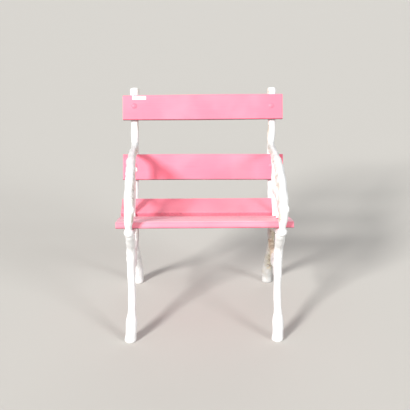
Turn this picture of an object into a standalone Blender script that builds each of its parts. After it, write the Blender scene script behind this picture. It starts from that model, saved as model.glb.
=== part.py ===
"""Garden armchair: two cast iron end frames in a rustic branch pattern carry five timber boards.

Blender 4.5, metres, +Z up. The chair faces -Y, and its footprint is centred on the origin.
Each end frame is one casting. The boards lie on pads of the castings, held by cup bolts.
"""
import math

import bmesh
import bpy
from mathutils import Matrix, Vector

# Boards
BOARD_LENGTH = 0.600
BOARD_WIDTH = 0.096
BOARD_THICKNESS = 0.020
BOARD_EDGE_ROUNDING = 0.0025
FRONT_BOARD_EDGE_ROUNDING = 0.006

# Seat: the three boards form a shallow dish, each placed from the one in front of it
SEAT_FRONT_HEIGHT = 0.437
SEAT_FRONT_Y = -0.196
FRONT_BOARD_SLOPE = -14.6
MIDDLE_BOARD_SLOPE = -17.0
REAR_BOARD_SLOPE = 11.5
FRONT_GAP = 0.0147
FRONT_GAP_RISE = -0.0053
REAR_GAP = 0.0181
REAR_GAP_RISE = 0.0064

# Back: two boards in one leaning plane. The top one hangs from the uprights' tops
BACK_LEAN = 21.0
LOWER_BACK_Y = 0.190
LOWER_BACK_HEIGHT = 0.5056
TOP_BOARD_DROP = 0.0219

# End frames, each set in from the boards' ends
BOARD_OVERHANG = 0.043
CASTING_SPACING = BOARD_LENGTH - 2 * BOARD_OVERHANG
FRONT_FOOT_Y = -0.221
REAR_FOOT_Y = 0.254
FOOT_RADIUS = 0.0208
FOOT_EDGE = 0.004
FRONT_LEG_RADIUS = 0.0132
FRONT_LEG_BOW = 0.081
REAR_LEG_RADIUS = 0.0140
REAR_LEG_SWEEP = 0.122
UPRIGHT_RADIUS = 0.0140
UPRIGHT_TOP_HEIGHT = 0.767
ARM_RADIUS = 0.0150
ARM_CROWN_HEIGHT = 0.582
ARM_FRONT_Y = -0.2315
POST_KNOT_RADIUS = 0.0180
POST_STANDOFF = 0.0050
RAIL_RADIUS = 0.0135
BRACE_RADIUS = 0.0115
BRACE_HEIGHT = 0.222
STEM_RADIUS = 0.0120
TWIG_RADIUS = 0.0100

# Seats of the boards on the castings
PAD_LENGTH = 0.062
PAD_WIDTH = 0.024
PAD_HEIGHT = 0.0035
BOSS_RADIUS = 0.0128
BOSS_STAND = 0.0025
SEAT_CLEARANCE = 0.0003
EDGE_CLEARANCE = 0.0015

# Bolts, washers and nuts
BOLT_RADIUS = 0.004
CUP_RADIUS = 0.0103
CUP_HEIGHT = 0.0048
NECK_HALF_WIDTH = 0.0041
NECK_DEPTH = 0.0050
BOLT_PROTRUSION = 0.0030
HOLE_CLEARANCE = 0.0004
WASHER_RADIUS = 0.0085
WASHER_THICKNESS = 0.0016
NUT_ACROSS_FLATS = 0.013
NUT_THICKNESS = 0.0065
FRONT_BOLT_SETBACK = 0.025
BACK_BOLT_RISE = 0.0045

# Footprint centre, behind the midpoint between the front and rear feet
FOOTPRINT_CENTRE_Y = 0.0503

# Roundness of the limbs
LIMB_SIDES = 10
TWIG_SIDES = 8
RING_STEP = 0.026
KNOBBLE = 0.055
KNOBBLE_PITCH = 0.078
BOLT_SIDES = 12
NUT_SIDES = 12

# Points closer than this are one point after a Boolean
WELD = 0.00002

WHITE_PAINT = ("white_painted_iron", (0.84, 0.84, 0.82), 0.48, 0.0)
PINK_PAINT = ("pink_painted_timber", (0.86, 0.36, 0.44), 0.55, 0.0)
PINK_IRON = ("pink_painted_bolt", (0.84, 0.34, 0.42), 0.50, 0.0)
ZINC = ("galvanised_steel", (0.42, 0.42, 0.41), 0.55, 0.9)


def material(finish):
    """A Principled material from a name, a colour, a roughness and a metallic value."""
    name, colour, roughness, metallic = finish
    if name in bpy.data.materials:
        return bpy.data.materials[name]
    made = bpy.data.materials.new(name)
    made.use_nodes = True
    shader = made.node_tree.nodes["Principled BSDF"]
    shader.inputs["Base Color"].default_value = (*colour, 1.0)
    shader.inputs["Roughness"].default_value = roughness
    shader.inputs["Metallic"].default_value = metallic
    return made


def new_object(name, mesh, finish=None, smooth_angle=40):
    """Link a mesh under a name, shaded smooth up to an edge angle."""
    thing = bpy.data.objects.new(name, mesh)
    bpy.context.scene.collection.objects.link(thing)
    if finish:
        mesh.materials.clear()
        mesh.materials.append(material(finish))
    mesh.shade_smooth()
    mesh.set_sharp_from_angle(angle=math.radians(smooth_angle))
    return thing


def mesh_from_rings(name, rings, closed=False):
    """Skin a stack of equal rings of points. Open stacks are capped, closed ones join end to end."""
    shape = bmesh.new()
    skin = [[shape.verts.new(point) for point in ring] for ring in rings]
    count = len(skin[0])
    pairs = list(zip(skin, skin[1:]))
    if closed:
        pairs.append((skin[-1], skin[0]))
    for low, high in pairs:
        for k in range(count):
            n = (k + 1) % count
            shape.faces.new((low[k], low[n], high[n], high[k]))
    if not closed:
        shape.faces.new(list(reversed(skin[0])))
        shape.faces.new(skin[-1])
    bmesh.ops.recalc_face_normals(shape, faces=shape.faces)
    mesh = bpy.data.meshes.new(name)
    shape.to_mesh(mesh)
    shape.free()
    return mesh


def combine(target, other, operation):
    """Join or cut target by other with an exact Boolean, keep the result and remove other."""
    change = target.modifiers.new(operation.lower(), "BOOLEAN")
    change.operation = operation
    change.solver = "EXACT"
    change.object = other
    view = bpy.context.evaluated_depsgraph_get()
    result = bpy.data.meshes.new_from_object(target.evaluated_get(view))
    target.modifiers.remove(change)
    shape = bmesh.new()
    shape.from_mesh(result)
    bmesh.ops.remove_doubles(shape, verts=shape.verts, dist=WELD)
    bmesh.ops.dissolve_degenerate(shape, edges=shape.edges, dist=WELD)
    shape.to_mesh(result)
    shape.free()
    old = target.data
    target.data = result
    bpy.data.meshes.remove(old)
    spent = other.data
    bpy.data.objects.remove(other)
    bpy.data.meshes.remove(spent)


class Board:
    """A board's place in side view: the middle of its upper or front face, and its slope."""

    def __init__(self, name, y, z, slope, bolt_across=0.0, front_rounding=BOARD_EDGE_ROUNDING):
        self.name = name
        self.slope = math.radians(slope)
        self.centre = Vector((0.0, y, z))
        self.across = Vector((0.0, math.cos(self.slope), math.sin(self.slope)))
        self.normal = Vector((0.0, -math.sin(self.slope), math.cos(self.slope)))
        self.bolt_across = bolt_across
        self.front_rounding = front_rounding

    def at(self, across, height):
        """A point in side view, given across the board and above its upper face."""
        return self.centre + across * self.across + height * self.normal

    def below(self, across, depth):
        """A point in side view, given its depth under the casting's pad."""
        return self.at(across, -BOARD_THICKNESS - SEAT_CLEARANCE - depth)

    def placed(self, across=0.0, height=0.0, x=0.0):
        """The matrix that puts a piece on the board, its local Z along the board's normal."""
        spot = self.at(across, height)
        return Matrix.Translation((x, spot.y, spot.z)) @ Matrix.Rotation(self.slope, 4, "X")


def seat_and_back():
    """The five boards, the seat's from front to rear and the back's from low to high."""
    boards = []
    y, z = SEAT_FRONT_Y, SEAT_FRONT_HEIGHT
    seat = (
        ("front_seat_board", FRONT_BOARD_SLOPE, FRONT_GAP, FRONT_GAP_RISE),
        ("middle_seat_board", MIDDLE_BOARD_SLOPE, REAR_GAP, REAR_GAP_RISE),
        ("rear_seat_board", REAR_BOARD_SLOPE, 0.0, 0.0),
    )
    for name, slope, gap, rise in seat:
        run = BOARD_WIDTH * math.cos(math.radians(slope))
        climb = BOARD_WIDTH * math.sin(math.radians(slope))
        first = not boards
        setback = FRONT_BOLT_SETBACK if first else 0.0
        rounding = FRONT_BOARD_EDGE_ROUNDING if first else BOARD_EDGE_ROUNDING
        boards.append(Board(name, y + run / 2, z + climb / 2, slope, setback, rounding))
        y += run + gap
        z += climb + rise
    lean = math.radians(BACK_LEAN)
    depth = BOARD_THICKNESS + SEAT_CLEARANCE + PAD_HEIGHT + UPRIGHT_RADIUS
    top_height = (UPRIGHT_TOP_HEIGHT - (TOP_BOARD_DROP + BOARD_WIDTH / 2) * math.cos(lean)
                  + depth * math.sin(lean))
    for name, height in (("lower_back_board", LOWER_BACK_HEIGHT), ("top_back_board", top_height)):
        y = LOWER_BACK_Y + (height - LOWER_BACK_HEIGHT) * math.tan(lean)
        boards.append(Board(name, y, height, 90.0 - BACK_LEAN, BACK_BOLT_RISE))
    return boards


def bolt_rings(cup, grow, top, end):
    """Rings of a cup bolt down its axis: domed head, square neck, round shank. Grown for a cutter."""

    def ring(z, size, square=False):
        points = []
        for k in range(BOLT_SIDES):
            turn = math.tau * (k + 0.5) / BOLT_SIDES
            c, s = math.cos(turn), math.sin(turn)
            reach = size / max(abs(c), abs(s)) if square else size
            points.append((reach * c, reach * s, z))
        return points

    neck = NECK_HALF_WIDTH + grow
    shank = BOLT_RADIUS + grow
    rings = []
    if cup:
        ball = (CUP_RADIUS ** 2 + CUP_HEIGHT ** 2) / (2 * CUP_HEIGHT)
        edge = math.asin(min(1.0, CUP_RADIUS / ball))
        for share in (0.35, 1.0):
            turn = edge * share
            rings.append(ring(top + CUP_HEIGHT - ball * (1 - math.cos(turn)), ball * math.sin(turn)))
        rings.append(ring(top, neck, square=True))
    else:
        rings.append(ring(top, neck, square=True))
    rings.append(ring(-NECK_DEPTH - grow, neck, square=True))
    rings.append(ring(-NECK_DEPTH - grow, shank))
    if cup:
        rings.append(ring(end + BOLT_RADIUS * 0.3, shank))
        rings.append(ring(end, shank * 0.75))
    else:
        rings.append(ring(end, shank))
    return rings


def stack_depth():
    """Depth from a pad's face to the far face of its boss, where the washer sits."""
    return PAD_HEIGHT + 2 * RAIL_RADIUS + BOSS_STAND


def make_board(board):
    """A rounded timber board with two bolt holes, each with a square pocket for the bolt's neck."""
    shape = bmesh.new()
    bmesh.ops.create_cube(shape, size=1.0)
    size = Matrix.Diagonal((BOARD_LENGTH, BOARD_WIDTH, BOARD_THICKNESS, 1.0))
    shape.transform(Matrix.Translation((0, 0, -BOARD_THICKNESS / 2)) @ size)
    long_edges = [e for e in shape.edges if abs(e.verts[0].co.x - e.verts[1].co.x) > BOARD_LENGTH / 2]
    front_top = [e for e in long_edges if e.verts[0].co.y < 0 and e.verts[0].co.z > -BOARD_THICKNESS / 2]
    others = [e for e in long_edges if e not in front_top]
    bmesh.ops.bevel(shape, geom=front_top, offset=board.front_rounding, segments=3, profile=0.5,
                    affect="EDGES")
    others = [e for e in others if e.is_valid]
    bmesh.ops.bevel(shape, geom=others, offset=BOARD_EDGE_ROUNDING, segments=2, profile=0.5,
                    affect="EDGES")
    bmesh.ops.recalc_face_normals(shape, faces=shape.faces)
    mesh = bpy.data.meshes.new(board.name)
    shape.to_mesh(mesh)
    shape.free()
    made = new_object(board.name, mesh)
    for side in (-1, 1):
        rings = bolt_rings(False, HOLE_CLEARANCE, BOLT_RADIUS, -BOARD_THICKNESS - BOLT_RADIUS)
        cutter = new_object("cutter", mesh_from_rings("cutter", rings))
        cutter.location = (side * CASTING_SPACING / 2, board.bolt_across, 0)
        bpy.context.view_layer.update()
        combine(made, cutter, "DIFFERENCE")
    made.data.materials.clear()
    made.data.materials.append(material(PINK_PAINT))
    made.data.set_sharp_from_angle(angle=math.radians(30))
    made.matrix_world = board.placed()
    return made


def smooth_path(stations, step):
    """Stations along a curve through the given ones, about one every step of length."""
    ends = [stations[0]] + list(stations) + [stations[-1]]
    path = [stations[0]]
    for a, b, c, d in zip(ends, ends[1:], ends[2:], ends[3:]):
        length = math.dist(b[:2], c[:2])
        count = max(1, round(length / step))
        for i in range(1, count + 1):
            t = i / count
            path.append(tuple(
                0.5 * (2 * q + (r - p) * t + (2 * p - 5 * q + 4 * r - s) * t ** 2
                       + (3 * q - p - 3 * r + s) * t ** 3)
                for p, q, r, s in zip(a, b, c, d)))
    return path


def limb(stations, radius, sides=LIMB_SIDES, phase=0.0, foot=False, knobble=KNOBBLE):
    """A branch in the casting's plane: rings square to a smooth path, swelling a little at each knobble.

    A station holds y, z, a girth and a thickness across the casting, both as shares of the radius.
    Ends are drawn in to a blunt dome. A foot ends level on the floor instead.
    """
    path = smooth_path(stations, RING_STEP)
    run = 0.0
    rings = []
    for i, (y, z, girth, thick) in enumerate(path):
        before = path[max(i - 1, 0)]
        after = path[min(i + 1, len(path) - 1)]
        along = Vector((0.0, after[0] - before[0], after[1] - before[1])).normalized()
        if i:
            run += math.dist((y, z), path[i - 1][:2])
        swell = 1 + knobble * math.sin(math.tau * run / KNOBBLE_PITCH + phase)
        across = Vector((0.0, -along.z, along.y))
        rings.append((Vector((0.0, y, z)), along, across, radius * girth * swell, radius * thick * swell))
    solid = []
    first, last = rings[0], rings[-1]
    solid.append(ring_points(first[0] - first[1] * first[3] * 0.45, first[2], first[3] * 0.6,
                             first[4] * 0.6, sides))
    solid += [ring_points(c, n, w, t, sides) for c, along, n, w, t in rings]
    if foot:
        level = Vector((0.0, 1.0, 0.0))
        foot_y = stations[-1][0]
        solid = solid[:-1]
        for z, size in ((2.2 * FOOT_EDGE, FOOT_RADIUS), (FOOT_EDGE, FOOT_RADIUS),
                        (0.0, FOOT_RADIUS - 0.8 * FOOT_EDGE)):
            solid.append(ring_points(Vector((0.0, foot_y, z)), level, size, size, sides))
    else:
        solid.append(ring_points(last[0] + last[1] * last[3] * 0.45, last[2], last[3] * 0.6,
                                 last[4] * 0.6, sides))
    return new_object("limb", mesh_from_rings("limb", solid))


def ring_points(centre, across, width, thick, sides):
    """An oval ring of points round a centre: width in the casting's plane, thick along X."""
    side = Vector((1.0, 0.0, 0.0))
    points = []
    for k in range(sides):
        turn = math.tau * (k + 0.5) / sides
        points.append(centre + side * (thick * math.cos(turn)) + across * (width * math.sin(turn)))
    return points


def stub(start, direction, radius, length):
    """A sawn-off twig: a short cone with a blunt end that stands out of a branch's middle line."""
    aim = Vector(direction).normalized()
    level = aim.orthogonal().normalized()
    other = aim.cross(level)
    rings = []
    for share, size in ((0.0, 1.0), (0.72, 0.88), (1.0, 0.55)):
        centre = start + aim * (length * share)
        ring = []
        for k in range(TWIG_SIDES):
            turn = math.tau * k / TWIG_SIDES
            ring.append(centre + (level * math.cos(turn) + other * math.sin(turn)) * (radius * size))
        rings.append(ring)
    return new_object("stub", mesh_from_rings("stub", rings))


def block(board, across, length, width, top, bottom):
    """A box in a board's frame, between two heights measured from the pad's face."""
    face = -BOARD_THICKNESS - SEAT_CLEARANCE
    shape = bmesh.new()
    bmesh.ops.create_cube(shape, size=1.0)
    shape.transform(Matrix.Translation((0, 0, face + (top + bottom) / 2))
                    @ Matrix.Diagonal((width, length, top - bottom, 1.0)))
    mesh = bpy.data.meshes.new("block")
    shape.to_mesh(mesh)
    shape.free()
    made = new_object("block", mesh)
    made.matrix_world = board.placed(across)
    return made


def rod(board, across, radius, top, bottom, sides):
    """A cylinder square to a board, between two heights measured from the pad's face."""
    face = -BOARD_THICKNESS - SEAT_CLEARANCE
    rings = []
    for z in (face + bottom, face + top):
        rings.append([(radius * math.cos(math.tau * k / sides), radius * math.sin(math.tau * k / sides), z)
                      for k in range(sides)])
    made = new_object("rod", mesh_from_rings("rod", rings))
    made.matrix_world = board.placed(across)
    return made


def hip(boards):
    """Where the back upright, the seat rail and the rear leg meet, behind the rear seat board."""
    corner = boards[2].below(BOARD_WIDTH / 2, 0.0)
    return corner + Vector((0.0, EDGE_CLEARANCE + 1.7 * UPRIGHT_RADIUS, -2.14 * UPRIGHT_RADIUS))


def rear_post(boards):
    """The back upright and the rear leg: one limb from the back's top to the rear foot."""
    lower, top = boards[3], boards[4]
    drop = PAD_HEIGHT + UPRIGHT_RADIUS
    half = BOARD_WIDTH / 2
    high = top.below(half, drop)
    crown = top.below(half + TOP_BOARD_DROP, drop)
    turn = hip(boards)
    stations = [(crown.y, crown.z, 1.12, 1.22), (high.y, high.z, 1.12, 1.15)]
    for board in (top, lower):
        for across in (half * 0.1, -half):
            spot = board.below(across, drop)
            stations.append((spot.y, spot.z, 1.0, 0.95))
    bend = turn.lerp(spot, 0.63)
    stations.append((bend.y - 0.4 * UPRIGHT_RADIUS, bend.z, 1.05, 0.92))
    stations.append((turn.y, turn.z, 1.15, 0.95))
    knee = REAR_FOOT_Y - REAR_LEG_SWEEP
    course = (
        (0.80, 0.0, 1.15, 0.92), (0.64, 0.03, 1.05, 0.87), (0.50, 0.20, 1.05, 0.97),
        (0.37, 0.55, 1.10, 1.22), (0.22, 0.86, 1.20, 1.36), (0.08, 1.0, 1.38, 1.42), (0.0, 1.0, 1.4, 1.4),
    )
    for level, sweep, girth, thick in course:
        stations.append((knee + sweep * REAR_LEG_SWEEP, turn.z * level, girth, thick))
    return limb(stations, REAR_LEG_RADIUS, foot=True, phase=0.6)


def front_leg(boards):
    """The bowed front leg, from the knot in front of the seat down to the front foot."""
    knot = front_knot(boards)
    size = 0.92 * POST_KNOT_RADIUS / FRONT_LEG_RADIUS
    stations = [(knot.y, knot.z, size, size)]
    course = (
        (0.93, 0.13, 1.12, 1.1), (0.84, 0.60, 1.12, 1.0), (0.70, 1.0, 1.2, 1.05), (0.57, 0.95, 1.05, 0.96),
        (0.42, 0.98, 1.0, 0.95), (0.33, 0.86, 1.0, 0.97), (0.25, 0.58, 1.0, 1.03), (0.17, 0.27, 1.08, 1.2),
        (0.08, 0.04, 1.35, 1.42), (0.0, 0.0, 1.5, 1.5),
    )
    for level, bow, girth, thick in course:
        stations.append((FRONT_FOOT_Y + bow * FRONT_LEG_BOW, knot.z * level, girth, thick))
    return limb(stations, FRONT_LEG_RADIUS, foot=True, phase=2.0)


def front_knot(boards):
    """Centre of the knot where the arm's post, the seat rail and the front leg meet."""
    corner = boards[0].below(-BOARD_WIDTH / 2, 0.0)
    return corner + Vector((0.0, -POST_STANDOFF - POST_KNOT_RADIUS, 0.001))


def on_arm(boards, share, fall):
    """A point of the arm: its share of the run to the upright, and of the fall from crown to knot."""
    back = boards[3].below(0.0, PAD_HEIGHT + UPRIGHT_RADIUS)
    joint = back.y + (ARM_CROWN_HEIGHT - 0.8 * ARM_RADIUS - back.z) * math.tan(math.radians(BACK_LEAN))
    drop = ARM_CROWN_HEIGHT - front_knot(boards).z
    return Vector((0.0, ARM_FRONT_Y + share * (joint - ARM_FRONT_Y), ARM_CROWN_HEIGHT - fall * drop))


def arm(boards):
    """The arm: from the upright forward, then down in front of the seat to the knot."""
    knot = front_knot(boards)
    stations = []
    course = (
        (1.0, 0.06, 0.95, 0.85), (0.88, 0.07, 0.92, 0.86), (0.72, 0.02, 0.95, 0.92),
        (0.56, 0.0, 1.0, 1.0), (0.42, 0.01, 1.0, 1.02), (0.28, 0.08, 1.02, 1.04), (0.15, 0.20, 1.02, 1.04),
        (0.045, 0.37, 1.0, 1.04), (0.0, 0.58, 0.98, 1.04), (0.003, 0.80, 0.95, 1.02),
    )
    for share, fall, girth, thick in course:
        spot = on_arm(boards, share, fall)
        stations.append((spot.y, spot.z, girth, thick))
    size = POST_KNOT_RADIUS / ARM_RADIUS
    stations.append((knot.y, knot.z, size, size))
    return limb(stations, ARM_RADIUS, phase=1.2)


def seat_rail(boards):
    """The dished rail under the seat boards, from the front knot to the rear leg."""
    knot = front_knot(boards)
    drop = PAD_HEIGHT + RAIL_RADIUS
    half = BOARD_WIDTH / 2
    turn = hip(boards)
    stations = [(knot.y + 0.44 * RAIL_RADIUS, knot.z - 1.4 * RAIL_RADIUS, 1.1, 1.1)]
    for board, spots in ((boards[0], (-0.35, 0.1, 0.8)), (boards[1], (-0.6, 0.0, 0.6)),
                         (boards[2], (-0.6, 0.0, 0.6))):
        for share in spots:
            spot = board.below(half * share, drop)
            stations.append((spot.y, spot.z, 1.0, 1.0))
    end = boards[2].below(half, drop)
    stations.append((turn.y, (end.z + turn.z) / 2, 1.1, 1.0))
    return limb(stations, RAIL_RADIUS, phase=0.0, knobble=KNOBBLE * 0.4)


def between(first, second, depth):
    """Side-view point in the middle of the gap between two boards, at a depth under their upper faces."""
    half = BOARD_WIDTH / 2
    return (first.at(half, -depth) + second.at(-half, -depth)) / 2


def arm_branches(boards):
    """Stems that rise from the rail through the gaps between boards, and the twigs that cross them."""

    def station(spot, girth, thick):
        return (spot.y, spot.z, girth, thick)

    foot = between(boards[1], boards[2], 2 * BOARD_THICKNESS)
    gap = between(boards[1], boards[2], BOARD_THICKNESS / 2)
    slim = (REAR_GAP / 2 - EDGE_CLEARANCE) / STEM_RADIUS
    rise = ARM_CROWN_HEIGHT - gap.z
    head = gap + Vector((0.0, rise * math.tan(math.radians(BACK_LEAN)), rise))
    rear_stem = [station(foot, 1.0, 1.0), station(gap, slim, 0.9)]
    for level, girth, thick in ((0.18, 0.95, 1.0), (0.42, 1.08, 1.1), (0.70, 0.92, 1.0), (1.0, 1.15, 1.15)):
        rear_stem.append(station(gap.lerp(head, level), girth, thick))
    joint = gap.lerp(head, 0.42)

    foot = between(boards[0], boards[1], 2 * BOARD_THICKNESS)
    gap = between(boards[0], boards[1], BOARD_THICKNESS / 2)
    slim = (FRONT_GAP / 2 - EDGE_CLEARANCE) / STEM_RADIUS
    rise = ARM_CROWN_HEIGHT - gap.z
    reach = gap.y - ARM_FRONT_Y

    def off(start, across, up):
        return start + Vector((0.0, across * reach, up * rise))

    fork = off(gap, -0.015, 0.26)
    cross = off(gap, 0.044, 0.48)
    front_stem = [station(foot, 1.0, 1.0), station(gap, slim, 0.9), station(fork, 1.0, 1.05),
                  station(cross, 1.05, 1.15), station(off(gap, 0.22, 0.74), 0.9, 1.0),
                  station(off(gap, 0.29, 1.0), 1.1, 1.1)]

    front = on_arm(boards, 0.0, 0.79)
    cross_twig = [station(front, 1.2, 1.2), station(off(front, 0.37, 0.05), 1.0, 1.05),
                  station(off(fork, -0.22, 0.08), 0.95, 1.0), station(cross, 1.15, 1.2),
                  station(off(cross.lerp(joint, 0.39), 0.0, -0.04), 0.95, 1.0), station(joint, 1.1, 1.1)]
    front_twig = [station(off(fork, 0.03, -0.067), 1.0, 1.0), station(off(fork, -0.25, 0.20), 1.0, 1.1),
                  station(off(fork, -0.48, 0.33), 0.9, 1.0), station(on_arm(boards, 0.09, 0.29), 1.1, 1.1)]
    landing = on_arm(boards, 0.517, 0.0)
    rear_twig = [station(off(cross, -0.03, -0.045), 1.0, 1.0),
                 station(off(cross.lerp(landing, 0.40), 0.0, -0.03), 0.95, 1.05),
                 station(off(cross.lerp(landing, 0.72), 0.0, -0.05), 0.9, 1.0), station(landing, 1.1, 1.1)]
    branches = (
        (rear_stem, STEM_RADIUS, 0.5), (front_stem, STEM_RADIUS, 1.4), (cross_twig, TWIG_RADIUS, 2.2),
        (front_twig, TWIG_RADIUS, 0.0), (rear_twig, TWIG_RADIUS, 0.9),
    )
    return [limb(course, radius, TWIG_SIDES, phase) for course, radius, phase in branches]


def leg_brace():
    """The crooked brace between the legs."""
    knee = REAR_FOOT_Y - REAR_LEG_SWEEP
    leg_y = FRONT_FOOT_Y + FRONT_LEG_BOW
    span = knee - leg_y
    course = (
        (0.0, -1.4, 1.25, 1.1), (0.14, -0.87, 1.1, 1.25), (0.29, 0.35, 0.95, 1.0),
        (0.46, -0.7, 1.25, 1.2), (0.65, 0.52, 0.95, 1.0), (0.84, -0.17, 1.0, 1.0), (1.0, 1.04, 1.2, 1.1),
    )
    stations = [(leg_y + share * span, BRACE_HEIGHT + rise * BRACE_RADIUS, girth, thick)
                for share, rise, girth, thick in course]
    return limb(stations, BRACE_RADIUS, phase=1.0)


def make_casting(boards):
    """One end frame in side view round X = 0: limbs joined, pads cut flat under the boards.

    Each bolt gets room for its head, a hole, and a flat face on the far side for its washer.
    """
    casting = rear_post(boards)
    casting.name = "left_end_frame"
    parts = [front_leg(boards), arm(boards), seat_rail(boards), leg_brace()]
    parts += arm_branches(boards)
    leg = Vector((0.0, FRONT_FOOT_Y + FRONT_LEG_BOW, 0.70 * front_knot(boards).z))
    brace = Vector((0.0, leg.y + BRACE_RADIUS, BRACE_HEIGHT - BRACE_RADIUS / 2))
    post = boards[3].below(0.72 * BOARD_WIDTH, PAD_HEIGHT + UPRIGHT_RADIUS)
    parts += [
        stub(on_arm(boards, 0.0, 0.517), (1.0, 0.0, 0.1), 0.57 * ARM_RADIUS, 1.43 * ARM_RADIUS),
        stub(on_arm(boards, 0.288, 0.06), (-1.0, -0.1, 0.25), 0.57 * ARM_RADIUS, 1.3 * ARM_RADIUS),
        stub(leg, (0.1, 1.0, 0.5), 0.76 * FRONT_LEG_RADIUS, 2.05 * FRONT_LEG_RADIUS),
        stub(brace, (-1.0, 0.5, 0.1), 0.91 * BRACE_RADIUS, 1.9 * BRACE_RADIUS),
        stub(post, (0.1, 0.9, 0.5), 0.64 * UPRIGHT_RADIUS, 1.86 * UPRIGHT_RADIUS),
    ]
    for board in boards:
        bolt = board.bolt_across
        parts.append(block(board, bolt, PAD_LENGTH, PAD_WIDTH, EDGE_CLEARANCE, -PAD_HEIGHT - RAIL_RADIUS))
        far = -stack_depth() - BOSS_STAND
        parts.append(rod(board, bolt, BOSS_RADIUS, -PAD_HEIGHT / 3, far, LIMB_SIDES))
    for part in parts:
        bpy.context.view_layer.update()
        combine(casting, part, "UNION")
    for board in boards:
        bolt = board.bolt_across
        width = BOARD_WIDTH + 2 * EDGE_CLEARANCE
        height = BOARD_THICKNESS + SEAT_CLEARANCE + EDGE_CLEARANCE
        far = -2 * stack_depth()
        cuts = (
            block(board, 0.0, width, 4 * FOOT_RADIUS, height, 0.0),
            rod(board, bolt, CUP_RADIUS + EDGE_CLEARANCE, height + CUP_HEIGHT, BOARD_THICKNESS, NUT_SIDES),
            rod(board, bolt, BOSS_RADIUS + EDGE_CLEARANCE, -stack_depth(), far, NUT_SIDES),
            rod(board, bolt, BOLT_RADIUS + HOLE_CLEARANCE, BOARD_THICKNESS / 2, far, NUT_SIDES),
        )
        bpy.context.view_layer.update()
        for cut in cuts:
            combine(casting, cut, "DIFFERENCE")
    casting.data.materials.clear()
    casting.data.materials.append(material(WHITE_PAINT))
    casting.data.set_sharp_from_angle(angle=math.radians(40))
    return casting


def bolt_mesh():
    """A cup bolt whose origin lies on the board's face. Its end passes the nut a little."""
    end = -(BOARD_THICKNESS + SEAT_CLEARANCE + stack_depth() + 2 * SEAT_CLEARANCE
            + WASHER_THICKNESS + NUT_THICKNESS + BOLT_PROTRUSION)
    return mesh_from_rings("cup_bolt", bolt_rings(True, 0.0, SEAT_CLEARANCE, end))


def collar_mesh(name, outer, thickness):
    """A ring with the bolt's bore: outer gives the outline's reach at each turn. Its top is at Z = 0."""
    bore = BOLT_RADIUS + HOLE_CLEARANCE
    rings = []
    turns = [math.tau * k / NUT_SIDES for k in range(NUT_SIDES)]
    outline = [outer(t) for t in turns]
    inside = [bore] * NUT_SIDES
    for reach, z in ((outline, 0.0), (outline, -thickness), (inside, -thickness), (inside, 0.0)):
        rings.append([(r * math.cos(t), r * math.sin(t), z) for r, t in zip(reach, turns)])
    return mesh_from_rings(name, rings, closed=True)


def washer_reach(turn):
    """A washer's outline is round."""
    return WASHER_RADIUS


def nut_reach(turn):
    """A nut's outline is a hexagon with a flat every 60 degrees."""
    flat = math.radians(60)
    return NUT_ACROSS_FLATS / 2 / math.cos((turn % flat) - flat / 2)


def fit_hardware(board, side, tag, meshes, datum):
    """One bolt, washer and nut through a board and a casting."""
    x = side * CASTING_SPACING / 2
    washer_top = -(BOARD_THICKNESS + SEAT_CLEARANCE + stack_depth() + SEAT_CLEARANCE)
    nut_top = washer_top - WASHER_THICKNESS - SEAT_CLEARANCE
    end_name = "left" if side < 0 else "right"
    stack = (("bolt", 0.0, PINK_IRON), ("washer", washer_top, ZINC), ("nut", nut_top, ZINC))
    for kind, height, finish in stack:
        piece = new_object(f"{kind}_{tag}_{end_name}", meshes[kind], finish)
        piece.matrix_world = board.placed(board.bolt_across, height, x)
        keep_at(piece, datum)


def keep_at(piece, datum):
    """Parent a piece to the datum, keeping its place relative to it."""
    local = piece.matrix_world.copy()
    piece.parent = datum
    piece.matrix_parent_inverse = Matrix.Identity(4)
    piece.matrix_basis = local


def build_chair():
    """Make every piece of the chair in the frame whose origin is the footprint's centre."""
    for old in list(bpy.data.objects):
        bpy.data.objects.remove(old)
    datum = bpy.data.objects.new("footprint_datum", None)
    bpy.context.scene.collection.objects.link(datum)
    datum.location = (0.0, -FOOTPRINT_CENTRE_Y, 0.0)

    boards = seat_and_back()
    for board in boards:
        keep_at(make_board(board), datum)

    left = make_casting(boards)
    right = bpy.data.objects.new("right_end_frame", left.data)
    bpy.context.scene.collection.objects.link(right)
    for frame, side in ((left, -1), (right, 1)):
        frame.matrix_world = Matrix.Translation((side * CASTING_SPACING / 2, 0.0, 0.0))
        keep_at(frame, datum)

    meshes = {
        "bolt": bolt_mesh(),
        "washer": collar_mesh("washer", washer_reach, WASHER_THICKNESS),
        "nut": collar_mesh("nut", nut_reach, NUT_THICKNESS),
    }
    for board in boards:
        tag = board.name.replace("_board", "")
        for side in (-1, 1):
            fit_hardware(board, side, tag, meshes, datum)
    bpy.context.view_layer.update()


build_chair()
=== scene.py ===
import math

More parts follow.
